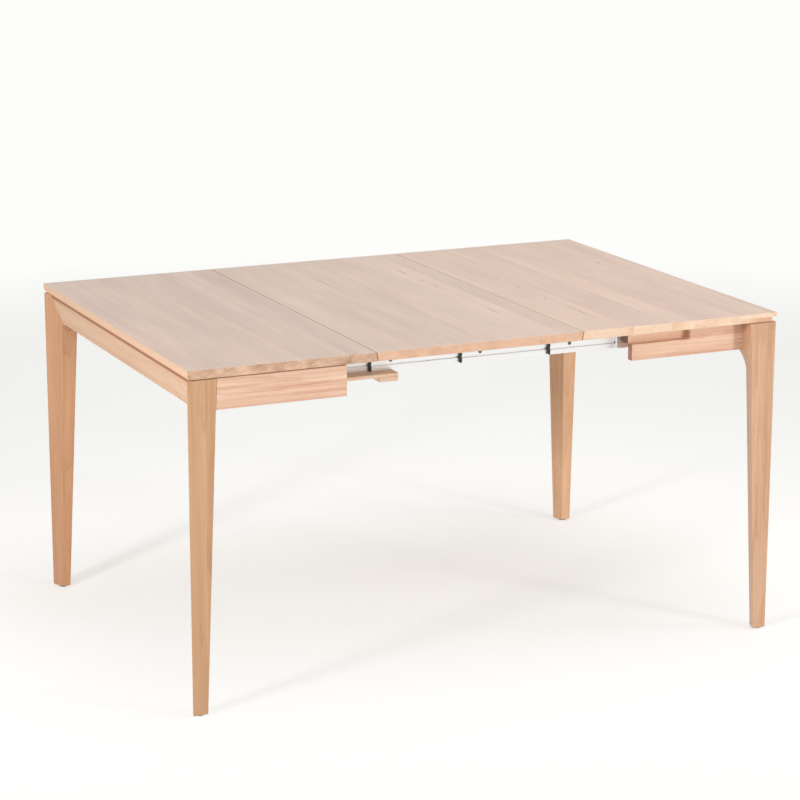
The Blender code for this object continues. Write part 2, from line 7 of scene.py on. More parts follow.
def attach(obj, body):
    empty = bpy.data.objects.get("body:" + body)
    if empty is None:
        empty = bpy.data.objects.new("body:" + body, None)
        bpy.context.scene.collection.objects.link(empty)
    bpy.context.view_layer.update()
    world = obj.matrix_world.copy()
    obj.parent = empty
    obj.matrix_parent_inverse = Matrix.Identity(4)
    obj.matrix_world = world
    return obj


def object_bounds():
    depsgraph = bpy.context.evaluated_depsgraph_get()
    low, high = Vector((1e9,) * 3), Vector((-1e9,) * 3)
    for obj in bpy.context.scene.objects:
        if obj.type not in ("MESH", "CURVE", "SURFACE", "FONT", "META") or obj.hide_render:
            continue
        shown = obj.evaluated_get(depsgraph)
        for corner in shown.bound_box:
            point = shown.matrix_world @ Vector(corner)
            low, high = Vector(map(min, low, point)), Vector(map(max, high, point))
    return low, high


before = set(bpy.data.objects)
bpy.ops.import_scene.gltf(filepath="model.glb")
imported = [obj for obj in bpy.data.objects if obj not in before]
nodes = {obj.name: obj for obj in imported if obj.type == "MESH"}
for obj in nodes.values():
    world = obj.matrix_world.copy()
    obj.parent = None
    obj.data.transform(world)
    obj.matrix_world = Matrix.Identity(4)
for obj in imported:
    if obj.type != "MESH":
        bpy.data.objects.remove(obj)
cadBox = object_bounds()
print("table loaded:", len(nodes), "pieces")

noiseMiddle = 0.5  # noise lies round this value
tableMiddle = 0.0  # x between the two end frames
topHeight = cadBox[1][2]


# node helpers

def plug(tree, node, inputs):
    for key, value in inputs.items():
        if isinstance(value, bpy.types.NodeSocket):
            tree.links.new(value, node.inputs[key])
        else:
            node.inputs[key].default_value = value


def addNode(tree, kind, inputs=None, **settings):
    node = tree.nodes.new(kind)
    for key, value in settings.items():
        setattr(node, key, value)
    plug(tree, node, inputs or {})
    return node


def maths(tree, operation, a, b=0.0, clamp=False):
    node = addNode(tree, "ShaderNodeMath", {0: a, 1: b}, operation=operation, use_clamp=clamp)
    return node.outputs[0]


def times(tree, a, b):
    return maths(tree, "MULTIPLY", a, b)


def joinVectors(tree, a, b, operation="ADD"):
    return addNode(tree, "ShaderNodeVectorMath", {0: a, 1: b}, operation=operation).outputs[0]


def scaleVector(tree, vector, factor):
    inputs = {0: vector, "Scale": factor}
    return addNode(tree, "ShaderNodeVectorMath", inputs, operation="SCALE").outputs[0]


def vectorLength(tree, vector):
    return addNode(tree, "ShaderNodeVectorMath", {0: vector}, operation="LENGTH").outputs["Value"]


def splitVector(tree, vector):
    return addNode(tree, "ShaderNodeSeparateXYZ", {0: vector}).outputs


def objectPlace(tree):
    return addNode(tree, "ShaderNodeTexCoord").outputs["Object"]


def remap(tree, value, low, high, newLow=0.0, newHigh=1.0):
    inputs = {"Value": value, "From Min": low, "From Max": high, "To Min": newLow, "To Max": newHigh}
    return addNode(tree, "ShaderNodeMapRange", inputs).outputs[0]


def mixColour(tree, factor, a, b, blend="MIX"):
    inputs = {0: factor, 6: a, 7: b}  # sockets 6 and 7 are the two colours
    return addNode(tree, "ShaderNodeMix", inputs, data_type="RGBA", blend_type=blend).outputs[2]


def noise(tree, vector, scale, detail=3.0, roughness=0.55, distortion=0.0):
    stretch = addNode(tree, "ShaderNodeMapping", {"Vector": vector, "Scale": scale})
    inputs = {"Vector": stretch.outputs[0], "Scale": 1.0, "Detail": detail}
    inputs.update({"Roughness": roughness, "Distortion": distortion})
    return addNode(tree, "ShaderNodeTexNoise", inputs).outputs[0]


def colour(red, green, blue):
    parts = []
    for value in (red, green, blue):
        share = value / 255
        # from sRGB to linear light
        parts.append(share / 12.92 if share <= 0.04045 else ((share + 0.055) / 1.055) ** 2.4)
    return (*parts, 1.0)


def newGroup(name, inputs, outputs):
    tree = bpy.data.node_groups.new(name, "ShaderNodeTree")
    for socketName, kind in inputs:
        tree.interface.new_socket(socketName, in_out="INPUT", socket_type="NodeSocket" + kind)
    for socketName, kind in outputs:
        tree.interface.new_socket(socketName, in_out="OUTPUT", socket_type="NodeSocket" + kind)
    return tree, tree.nodes.new("NodeGroupInput").outputs, tree.nodes.new("NodeGroupOutput").inputs


def placeGroup(tree, group, inputs):
    return addNode(tree, "ShaderNodeGroup", inputs, node_tree=group).outputs


# long grain: x runs along the fibres
grainLook = {
    "warp": (0.7, 5.0, 5.0), "sway": (0.05, 0.03),
    "figure": (0.9, 30.0, 30.0), "figureSpan": (0.32, 0.70), "figureFine": 0.6, "figureTwist": 0.4,
    "streak": (2.6, 150.0, 150.0), "streakSpan": (0.34, 0.68), "streakFine": 0.6,
    "fibre": (9.0, 620.0, 620.0), "fibreHeight": 0.35, "fibreRoughness": (0.3, 0.7, 0.40, 0.50),
    "ringStretch": (0.12, 1.0, 1.0), "ringScale": 34.0, "ringTwist": 7.0, "ringDetail": 2.0,
    "ringDetailScale": 1.2, "lateSpan": (0.45, 1.0), "lateShare": 0.45,
    "pore": (38.0, 1250.0, 1250.0), "poreSpan": (0.60, 0.72), "poreCrowd": (0.1, 0.8, 0.25, 1.0),
    "poreRoughness": 0.15,
}


def makeLongGrain():
    inputs = (("Vector", "Vector"), ("Pale", "Color"), ("Dark", "Color"), ("Pore", "Color"),
              ("Figure", "Float"), ("Streak", "Float"), ("Pores", "Float"))
    outputs = (("Color", "Color"), ("Roughness", "Float"), ("Height", "Float"))
    tree, source, target = newGroup("longGrain", inputs, outputs)
    look = grainLook
    # slow waves push the fibres sideways
    warp = noise(tree, source["Vector"], look["warp"], detail=2.0)
    warp = maths(tree, "SUBTRACT", warp, noiseMiddle)
    swayY, swayZ = look["sway"]
    push = {"Y": times(tree, warp, swayY), "Z": times(tree, warp, swayZ)}
    push = addNode(tree, "ShaderNodeCombineXYZ", push).outputs[0]
    moved = joinVectors(tree, source["Vector"], push)
    figure = noise(tree, moved, look["figure"], 3.0, look["figureFine"], look["figureTwist"])
    figure = remap(tree, figure, *look["figureSpan"])
    streak = noise(tree, moved, look["streak"], 3.0, look["streakFine"])
    streak = remap(tree, streak, *look["streakSpan"])
    fibre = noise(tree, moved, look["fibre"], detail=2.0)
    # year rings, drawn out along the fibres
    drawn = addNode(tree, "ShaderNodeMapping", {"Vector": moved, "Scale": look["ringStretch"]}).outputs[0]
    ringInputs = {"Vector": drawn, "Scale": look["ringScale"], "Distortion": look["ringTwist"]}
    ringInputs.update({"Detail": look["ringDetail"], "Detail Scale": look["ringDetailScale"]})
    ringWave = {"wave_type": "BANDS", "bands_direction": "Y", "wave_profile": "SAW"}
    rings = addNode(tree, "ShaderNodeTexWave", ringInputs, **ringWave).outputs[1]
    late = remap(tree, rings, *look["lateSpan"])
    shade = times(tree, figure, source["Figure"])
    shade = maths(tree, "ADD", shade, times(tree, streak, source["Streak"]))
    lateShade = times(tree, times(tree, late, source["Figure"]), look["lateShare"])
    shade = maths(tree, "ADD", shade, lateShade, clamp=True)
    body = mixColour(tree, shade, source["Pale"], source["Dark"])
    # pores are short dashes, most of them in the late wood
    dashes = remap(tree, noise(tree, moved, look["pore"], detail=1.0), *look["poreSpan"])
    pores = times(tree, dashes, remap(tree, late, *look["poreCrowd"]))
    pores = times(tree, pores, source["Pores"])
    rough = remap(tree, fibre, *look["fibreRoughness"])
    rough = maths(tree, "ADD", rough, times(tree, pores, look["poreRoughness"]))
    height = maths(tree, "SUBTRACT", times(tree, fibre, look["fibreHeight"]), pores)
    tree.links.new(mixColour(tree, pores, body, source["Pore"]), target["Color"])
    tree.links.new(rough, target["Roughness"])
    tree.links.new(height, target["Height"])
    return tree


# end grain: x runs across the board, z is its thickness
endLook = {
    "boardShift": 0.31, "ringScale": 30.0, "ringTwist": 5.0, "ringDetail": 2.0, "ringDetailScale": 1.5,
    "ringShare": 0.10, "patch": (22.0, 4.0, 30.0), "patchSpan": (0.35, 0.68), "patchShare": 0.62,
    "speck": (420.0, 40.0, 420.0), "speckSpan": (0.46, 0.66), "speckShare": 0.30,
}


def makeEndGrain():
    inputs = (("Vector", "Vector"), ("Board", "Float"), ("Pale", "Color"), ("Dark", "Color"))
    tree, source, target = newGroup("endGrain", inputs, (("Color", "Color"),))
    look = endLook
    # each board is cut from another place
    lift = {"X": times(tree, source["Board"], look["boardShift"]), "Z": source["Board"]}
    lift = addNode(tree, "ShaderNodeCombineXYZ", lift).outputs[0]
    moved = joinVectors(tree, source["Vector"], lift)
    ringInputs = {"Vector": moved, "Scale": look["ringScale"], "Distortion": look["ringTwist"]}
    ringInputs.update({"Detail": look["ringDetail"], "Detail Scale": look["ringDetailScale"]})
    ringWave = {"wave_type": "RINGS", "rings_direction": "Y"}
    rings = addNode(tree, "ShaderNodeTexWave", ringInputs, **ringWave).outputs[1]
    patches = remap(tree, noise(tree, moved, look["patch"]), *look["patchSpan"])
    specks = remap(tree, noise(tree, moved, look["speck"], detail=2.0), *look["speckSpan"])
    shade = times(tree, rings, look["ringShare"])
    shade = maths(tree, "ADD", shade, times(tree, patches, look["patchShare"]))
    shade = maths(tree, "ADD", shade, times(tree, specks, look["speckShare"]), clamp=True)
    tree.links.new(mixColour(tree, shade, source["Pale"], source["Dark"]), target["Color"])
    return tree


# glued staves of uneven width: one number for each stave, and a fine dark seam between them
staveLook = {"wave": 2.3, "wander": 0.22}


def makeStaves():
    inputs = (("Across", "Float"), ("Width", "Float"), ("Seam", "Float"))
    outputs = (("Board", "Float"), ("Seam", "Float"))
    tree, source, target = newGroup("staves", inputs, outputs)
    place = maths(tree, "DIVIDE", source["Across"], source["Width"])
    wander = maths(tree, "SINE", times(tree, place, staveLook["wave"]))
    place = maths(tree, "ADD", place, times(tree, wander, staveLook["wander"]))
    whole = maths(tree, "FLOOR", place)
    board = addNode(tree, "ShaderNodeTexWhiteNoise", {"W": whole}, noise_dimensions="1D").outputs[0]
    part = maths(tree, "SUBTRACT", place, whole)
    edge = maths(tree, "MINIMUM", part, maths(tree, "SUBTRACT", 1.0, part))
    seam = remap(tree, times(tree, edge, source["Width"]), source["Seam"], 0.0)
    tree.links.new(board, target["Board"])
    tree.links.new(seam, target["Seam"])
    return tree


# soft ellipse on the top, for knots and dark dashes
spotEdge = (1.0, 0.35)  # from clear to full, as shares of its size


def makeSpot():
    inputs = (("Vector", "Vector"), ("Centre", "Vector"), ("Size", "Vector"))
    tree, source, target = newGroup("spot", inputs, (("Mask", "Float"),))
    away = joinVectors(tree, source["Vector"], source["Centre"], "SUBTRACT")
    away = joinVectors(tree, away, source["Size"], "DIVIDE")
    tree.links.new(remap(tree, vectorLength(tree, away), *spotEdge), target["Mask"])
    return tree


longGrain = makeLongGrain()
endGrain = makeEndGrain()
staves = makeStaves()
spot = makeSpot()
print("wood groups made:", longGrain.name, endGrain.name, staves.name, spot.name)


def newMaterial(name):
    material = bpy.data.materials.new(name)
    material.use_nodes = True
    tree = material.node_tree
    return material, tree, tree.nodes["Principled BSDF"]


def dress(material, *names):
    for name in names:
        slots = nodes[name].data.materials
        slots.clear()
        slots.append(material)


# turns that lay the fibres along an axis of the table
turns = {"x": (0.0, 0.0, 0.0), "y": (0.0, 0.0, -math.pi / 2), "z": (0.0, math.pi / 2, 0.0)}


def grainVector(tree, axis, offset=(0.0, 0.0, 0.0)):
    inputs = {"Vector": objectPlace(tree), "Rotation": turns[axis], "Location": offset}
    return addNode(tree, "ShaderNodeMapping", inputs).outputs[0]


def placeLongGrain(tree, vector, tints, grain):
    return placeGroup(tree, longGrain, {
        "Vector": vector,
        "Pale": colour(*tints["pale"]), "Dark": colour(*tints["dark"]), "Pore": colour(*tints["pore"]),
        "Figure": grain["figure"], "Streak": grain["streak"], "Pores": grain["pores"],
    })


def bump(tree, shader, height, look):
    inputs = {"Height": height, "Strength": look["bump"], "Distance": look["bumpDepth"]}
    tree.links.new(addNode(tree, "ShaderNodeBump", inputs).outputs[0], shader.inputs["Normal"])


# tops: lacquered staves that run from front to back, end grain on the long edges
# marks are knots and dashes: x, y, half width, half length
# the pale greyish tones of the tops are partly painted sheen of the lacquer, and the differences between
# the three pieces, on faces and edges, are partly painted light
topLooks = {
    "console_top": {
        "pale": (218, 194, 178), "dark": (192, 164, 147), "pore": (150, 122, 104),
        "endPale": (242, 203, 175), "endDark": (158, 114, 82), "side": (236, 192, 153), "seed": 0.0,
        "marks": (),
    },
    "middle_leaf": {
        "pale": (224, 200, 183), "dark": (201, 171, 151), "pore": (158, 124, 104),
        "endPale": (241, 200, 172), "endDark": (215, 166, 135), "side": (236, 192, 156), "seed": 3.7,
        "marks": (
            (0.128, 0.275, 0.0026, 0.036), (0.126, 0.156, 0.0040, 0.007), (0.130, 0.085, 0.0045, 0.006),
            (0.129, -0.221, 0.0024, 0.047), (-0.098, 0.210, 0.0011, 0.16), (-0.110, -0.150, 0.0011, 0.17),
        ),
    },
    "right_leaf": {
        "pale": (230, 202, 184), "dark": (210, 176, 156), "pore": (164, 128, 108),
        "endPale": (251, 225, 200), "endDark": (230, 186, 150), "side": (243, 204, 168), "seed": 8.2,
        "marks": (
            (0.303, 0.168, 0.0042, 0.007), (0.306, 0.108, 0.0040, 0.006), (0.304, -0.009, 0.0045, 0.007),
            (0.302, -0.143, 0.0042, 0.006), (0.306, -0.302, 0.0024, 0.108), (0.625, 0.185, 0.0045, 0.008),
        ),
    },
}
topBuild = {
    "staveWidth": 0.088, "seam": 0.0006, "seamShade": 0.45, "seamDepth": 0.8,
    "boardShift": (7.0, 3.0), "boardTone": (0.94, 1.05),
    "figure": 0.40, "streak": 0.06, "pores": 0.26,
    "patch": (3.0, 11.0, 11.0), "patchTone": (0.3, 0.7, 0.93, 1.06),
    "markDepth": 0.02, "markShade": 0.62, "markTint": (118, 84, 64), "strayScale": 40.0, "stray": 0.004,
    # the joint colour is painted shade in the joints between the panels
    "turned": (0.55, 0.8), "outerFrom": (0.690, 0.691), "sideShade": 0.85, "jointShadeTint": (164, 124, 99),
    # the lip colour is painted shade under the lip at the right end
    "lipUnder": (0.7462, 0.7446), "lipAlong": (0.59, 0.67), "lipShadeTint": (226, 174, 138),
    "bump": 0.25, "bumpDepth": 0.0004, "coat": 0.06, "coatRoughness": 0.35,
}


def makeTop(name, look):
    material, tree, shader = newMaterial("oak_" + name)
    coords = addNode(tree, "ShaderNodeTexCoord").outputs
    place = coords["Object"]
    parts = splitVector(tree, place)
    across = maths(tree, "ADD", parts["X"], look["seed"])
    staveInputs = {"Across": across, "Width": topBuild["staveWidth"], "Seam": topBuild["seam"]}
    board, seam = placeGroup(tree, staves, staveInputs)
    # each stave takes its grain from another place
    shiftX, shiftZ = topBuild["boardShift"]
    shift = {"X": times(tree, board, shiftX), "Z": times(tree, board, shiftZ)}
    shift = addNode(tree, "ShaderNodeCombineXYZ", shift).outputs[0]
    vector = joinVectors(tree, grainVector(tree, "y", (look["seed"], 0.0, 0.0)), shift)
    grain = placeLongGrain(tree, vector, look, topBuild)
    patches = noise(tree, vector, topBuild["patch"], detail=2.0)
    tone = remap(tree, board, 0.0, 1.0, *topBuild["boardTone"])
    tone = times(tree, tone, remap(tree, patches, *topBuild["patchTone"]))
    toned = scaleVector(tree, grain["Color"], tone)
    seamed = mixColour(tree, times(tree, seam, topBuild["seamShade"]), toned, colour(*look["pore"]))
    # knots and dashes wander a little with the fibres
    stray = addNode(tree, "ShaderNodeTexNoise", {"Vector": place, "Scale": topBuild["strayScale"]})
    stray = joinVectors(tree, stray.outputs["Color"], (noiseMiddle, noiseMiddle, noiseMiddle), "SUBTRACT")
    strayed = joinVectors(tree, place, scaleVector(tree, stray, topBuild["stray"]))
    marked = 0.0
    for x, y, wide, long in look["marks"]:
        size = (wide, long, topBuild["markDepth"])
        mark = placeGroup(tree, spot, {"Vector": strayed, "Centre": (x, y, topHeight), "Size": size})
        marked = maths(tree, "MAXIMUM", mark["Mask"], marked)
    markShare = times(tree, marked, topBuild["markShade"])
    knotted = mixColour(tree, markShare, seamed, colour(*topBuild["markTint"]))
    # pale faces at the two ends of the table; the faces in the joints are painted brown, painted shade
    # between the panels
    facing = splitVector(tree, coords["Normal"])
    onSide = remap(tree, maths(tree, "ABSOLUTE", facing["X"]), *topBuild["turned"])
    outer = remap(tree, maths(tree, "ABSOLUTE", parts["X"]), *topBuild["outerFrom"])
    sideTint = mixColour(tree, outer, colour(*topBuild["jointShadeTint"]), colour(*look["side"]))
    sided = mixColour(tree, times(tree, onSide, topBuild["sideShade"]), knotted, sideTint)
    # end grain in front and behind; under the lip at the right end the edge is darkened as painted shade
    onEnd = remap(tree, maths(tree, "ABSOLUTE", facing["Y"]), *topBuild["turned"])
    endInputs = {"Vector": place, "Board": board}
    endInputs.update({"Pale": colour(*look["endPale"]), "Dark": colour(*look["endDark"])})
    ends = placeGroup(tree, endGrain, endInputs)
    under = remap(tree, parts["Z"], *topBuild["lipUnder"])
    under = times(tree, under, remap(tree, parts["X"], *topBuild["lipAlong"]))
    edged = mixColour(tree, under, ends["Color"], colour(*topBuild["lipShadeTint"]))
    tree.links.new(mixColour(tree, onEnd, sided, edged), shader.inputs["Base Color"])
    tree.links.new(grain["Roughness"], shader.inputs["Roughness"])
    height = maths(tree, "SUBTRACT", grain["Height"], times(tree, seam, topBuild["seamDepth"]))
    bump(tree, shader, height, topBuild)
    shader.inputs["Coat Weight"].default_value = topBuild["coat"]
    shader.inputs["Coat Roughness"].default_value = topBuild["coatRoughness"]
    dress(material, name)


for topName, topLook in topLooks.items():
    makeTop(topName, topLook)
print("tops dressed:", len(topLooks))


# solid oak and beech members; each leg has a tone of its own, partly its wood and partly painted light:
# the right legs, the back one most, are painted paler where they get less light
legGrain = {"figure": 0.50, "streak": 0.32, "pores": 0.5, "axis": "z"}
railGrain = {"figure": 0.45, "streak": 0.30, "pores": 0.5, "axis": "y"}
beechGrain = {"figure": 0.30, "streak": 0.30, "pores": 0.35, "axis": "x"}
apronStart = min(corner[0] for corner in nodes["right_apron_front"].bound_box)
sawnDepth = 0.001
memberLooks = {
    "legOakLeftFront": {
        **legGrain, "pale": (218, 175, 136), "dark": (187, 138, 98), "pore": (150, 102, 68),
        "nodes": ("left_leg_front",),
    },
    "legOakLeftBack": {
        **legGrain, "pale": (219, 169, 130), "dark": (189, 131, 92), "pore": (150, 98, 64),
        "nodes": ("left_leg_back",),
    },
    "legOakRightFront": {
        **legGrain, "pale": (226, 186, 154), "dark": (198, 150, 116), "pore": (158, 110, 78),
        "streak": 0.40,
        "nodes": ("right_leg_front",),
    },
    "legOakRightBack": {
        **legGrain, "pale": (243, 199, 160), "dark": (219, 166, 125), "pore": (174, 122, 88),
        "nodes": ("right_leg_back",),
    },
    "apronOak": {
        "pale": (250, 218, 193), "dark": (218, 164, 134), "pore": (180, 126, 98),
        "figure": 0.48, "streak": 0.58, "pores": 0.6, "axis": "x",
        # the dark apron ends are sawn end grain, partly painted shade
        "sawnEndAndShadeTint": (168, 118, 92), "endUntil": apronStart + sawnDepth,
        "nodes": ("left_apron_front", "left_apron_back", "right_apron_front", "right_apron_back"),
    },
    "railOak": {
        **railGrain, "pale": (230, 191, 160), "dark": (205, 157, 120), "pore": (168, 116, 84),
        # the dark gap colour is painted shade in the shadow gap under the top
        "gapShadeTint": (162, 93, 44), "kneeTint": (204, 154, 115),
        "nodes": ("left_end_rail", "right_end_rail"),
    },
    "plateOak": {
        **railGrain, "pale": (254, 224, 196), "dark": (244, 202, 170), "pore": (206, 156, 124),
        "pores": 0.4,
        "nodes": ("cross_plate", "cross_plate_batten"),
    },
    "beech": {
        **beechGrain, "pale": (226, 180, 142), "dark": (206, 154, 114), "pore": (168, 114, 78),
        "nodes": ("left_cleat_front", "left_cleat_back", "left_bearer_front", "left_bearer_back",
                  "middle_leaf_batten_front", "middle_leaf_batten_back",
                  "right_leaf_batten_front", "right_leaf_batten_back"),
    },
    "runnerBeech": {
        **beechGrain, "pale": (254, 216, 190), "dark": (236, 186, 154), "pore": (196, 144, 114),
        # the dark runner ends are painted shade
        "sawnEndAndShadeTint": (128, 98, 78), "endUntil": apronStart,
        "nodes": ("right_runner_front", "right_runner_back"),
    },
}
memberBuild = {
    # the gap band is painted shade along the top of the left rail
    "gapShadeBand": (0.7226, 0.7254), "kneeStain": (0.6668, 0.6650), "kneeShare": 0.5,
    "bump": 0.25, "bumpDepth": 0.0004,
}


def makeMember(name, look):
    material, tree, shader = newMaterial(name)
    grain = placeLongGrain(tree, grainVector(tree, look["axis"]), look, look)
    wood = grain["Color"]
    if "gapShadeTint" in look:
        # painted shade: the left rail is darkened where it goes up into the shadow gap under the top
        parts = splitVector(tree, objectPlace(tree))
        gap = remap(tree, parts["Z"], *memberBuild["gapShadeBand"])
        gap = times(tree, gap, maths(tree, "LESS_THAN", parts["X"], tableMiddle))
        wood = mixColour(tree, gap, wood, colour(*look["gapShadeTint"]))
        # the knees take the tone of the legs
        knee = remap(tree, parts["Z"], *memberBuild["kneeStain"])
        kneeTint = colour(*look["kneeTint"])
        kneeWood = mixColour(tree, memberBuild["kneeShare"], grain["Color"], kneeTint, "MULTIPLY")
        wood = mixColour(tree, knee, wood, kneeWood)
    if "sawnEndAndShadeTint" in look:
        # darker ends at the open side of the right frame only: on the aprons sawn end grain, partly
        # painted shade; on the runners painted shade
        along = splitVector(tree, objectPlace(tree))["X"]
        darkEndMask = maths(tree, "LESS_THAN", along, look["endUntil"])
        darkEndMask = times(tree, darkEndMask, maths(tree, "GREATER_THAN", along, tableMiddle))
        wood = mixColour(tree, darkEndMask, wood, colour(*look["sawnEndAndShadeTint"]))
    tree.links.new(wood, shader.inputs["Base Color"])
    tree.links.new(grain["Roughness"], shader.inputs["Roughness"])
    bump(tree, shader, grain["Height"], memberBuild)
    dress(material, *look["nodes"])


for memberName, memberLook in memberLooks.items():
    makeMember(memberName, memberLook)
print("frame members dressed:", len(memberLooks))


# drawn aluminium of the slides, with fine lines along them
slideLook = {
    "pale": (254, 254, 253), "dark": (244, 244, 243), "metal": 0.95,
    "lines": (1.5, 900.0, 900.0), "lineTint": (0.35, 0.65), "lineRoughness": (0.3, 0.7, 0.28, 0.40),
    "cloud": (6.0, 30.0, 30.0), "cloudRoughness": 0.08, "bump": 0.15, "bumpDepth": 0.0002,
}
slideNames = ("left_slide", "slide_a", "slide_b", "slide_c", "slide_d", "right_slide")


def makeAluminium():
    material, tree, shader = newMaterial("drawnAluminium")
    vector = grainVector(tree, "x")
    lines = noise(tree, vector, slideLook["lines"], detail=2.0)
    cloud = noise(tree, vector, slideLook["cloud"], detail=2.0)
    share = remap(tree, lines, *slideLook["lineTint"])
    tint = mixColour(tree, share, colour(*slideLook["dark"]), colour(*slideLook["pale"]))
    tree.links.new(tint, shader.inputs["Base Color"])
    rough = remap(tree, lines, *slideLook["lineRoughness"])
    rough = maths(tree, "ADD", rough, times(tree, cloud, slideLook["cloudRoughness"]))
    tree.links.new(rough, shader.inputs["Roughness"])
    shader.inputs["Metallic"].default_value = slideLook["metal"]
    bump(tree, shader, lines, slideLook)
    for name in slideNames:
        dress(material, name + "_front", name + "_back")
    # the right slides end in pale plugs, not in black caps
    dress(material, "right_slide_cap_front", "right_slide_cap_back")


makeAluminium()


# moulded black plastic of the end caps and glides
plasticLook = {
    "base": (44, 43, 41), "worn": (74, 72, 68), "pits": (2400.0, 2400.0, 2400.0),
    "smears": (60.0, 60.0, 60.0), "smearTint": (0.45, 0.75), "smearRoughness": (0.3, 0.7, 0.42, 0.60),
    "bump": 0.3, "bumpDepth": 0.0002,
}


def makePlastic():
    material, tree, shader = newMaterial("blackPlastic")
    place = objectPlace(tree)
    pits = noise(tree, place, plasticLook["pits"], detail=2.0)
    smears = noise(tree, place, plasticLook["smears"])
    share = remap(tree, smears, *plasticLook["smearTint"])
    tint = mixColour(tree, share, colour(*plasticLook["base"]), colour(*plasticLook["worn"]))
    tree.links.new(tint, shader.inputs["Base Color"])
    tree.links.new(remap(tree, smears, *plasticLook["smearRoughness"]), shader.inputs["Roughness"])
    bump(tree, shader, pits, plasticLook)
    for name in slideNames[:-1]:
        dress(material, name + "_cap_front", name + "_cap_back")
    for side in ("left", "right"):
        dress(material, side + "_foot_glide_front", side + "_foot_glide_back")


makePlastic()


# dark plated steel of the screws
steelLook = {
    "base": (120, 117, 112), "dark": (84, 81, 77), "metal": 1.0,
    "cloud": (500.0, 500.0, 500.0), "cloudTint": (0.35, 0.65), "cloudRoughness": (0.3, 0.7, 0.30, 0.48),
}
screwNames = ("plate_screw_front", "plate_screw_back", "top_screw_front_1", "top_screw_front_2",
              "top_screw_back_1", "top_screw_back_2")


def makeSteel():
    material, tree, shader = newMaterial("platedSteel")
    cloud = noise(tree, objectPlace(tree), steelLook["cloud"])
    share = remap(tree, cloud, *steelLook["cloudTint"])
    tint = mixColour(tree, share, colour(*steelLook["dark"]), colour(*steelLook["base"]))
    tree.links.new(tint, shader.inputs["Base Color"])
    tree.links.new(remap(tree, cloud, *steelLook["cloudRoughness"]), shader.inputs["Roughness"])
    shader.inputs["Metallic"].default_value = steelLook["metal"]
    dress(material, *screwNames)
    return material


platedSteel = makeSteel()
print("metal and plastic dressed")


# stop screws in the outer faces of the drawn members, near their left ends: x, and y of the face
stopLook = {
    "radius": 0.0040, "proud": 0.0014, "rise": 0.7097, "sides": 20,
    "round": 0.0005, "roundSteps": 2, "smoothBelow": 40,
}
stopPlaces = {"stage_b": (-0.2061, 0.3974), "stage_c": (0.0063, 0.4044), "stage_d": (0.2249, 0.4114)}


def makeStop(body, x, face, side, sign):
    bpy.ops.object.select_all(action="DESELECT")
    centre = (x, sign * (face + stopLook["proud"] / 2), stopLook["rise"])
    bpy.ops.mesh.primitive_cylinder_add(
        vertices=stopLook["sides"], radius=stopLook["radius"], depth=stopLook["proud"],
        location=centre, rotation=(math.pi / 2, 0.0, 0.0),
    )
    screw = bpy.context.object
    screw.name = "stop_screw_" + body[-1] + "_" + side
    bpy.ops.object.mode_set(mode="EDIT")
    bpy.ops.mesh.select_all(action="SELECT")
    bpy.ops.mesh.bevel(offset=stopLook["round"], segments=stopLook["roundSteps"], affect="EDGES")
    bpy.ops.object.mode_set(mode="OBJECT")
    bpy.ops.object.transform_apply(location=True, rotation=True, scale=True)
    bpy.ops.object.shade_smooth_by_angle(angle=math.radians(stopLook["smoothBelow"]))
    screw.data.materials.append(platedSteel)
    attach(screw, body)


for stopBody, (stopX, stopFace) in stopPlaces.items():
    for stopSide, stopSign in (("front", -1), ("back", 1)):
        makeStop(stopBody, stopX, stopFace, stopSide, stopSign)
print("stop screws made:", 2 * len(stopPlaces))


# 1 for what the camera sees, also in reflections and through clear surfaces
def seenRays(tree):
    path = addNode(tree, "ShaderNodeLightPath").outputs
    seen = maths(tree, "MAXIMUM", path["Is Camera Ray"], path["Is Glossy Ray"])
    return maths(tree, "MAXIMUM", seen, path["Is Transmission Ray"])


# floor: pale, with faint shadows under the table that fade out before, behind and round it
# ahead runs level from the camera's side of the table to the far side
floorLook = {
    "size": 60.0, "paint": (240, 239, 235), "roughness": 0.8, "specular": 0.1, "shown": (255, 255, 253),
    "seenPaint": (1.22, 1.22, 1.20, 1.0), "ahead": (0.416, 0.909, 0.0), "shares": (0.46, 0.97),
    "behind": (0.9, 6.0), "before": (0.3, -1.2), "round": (2.4, 4.5),
}


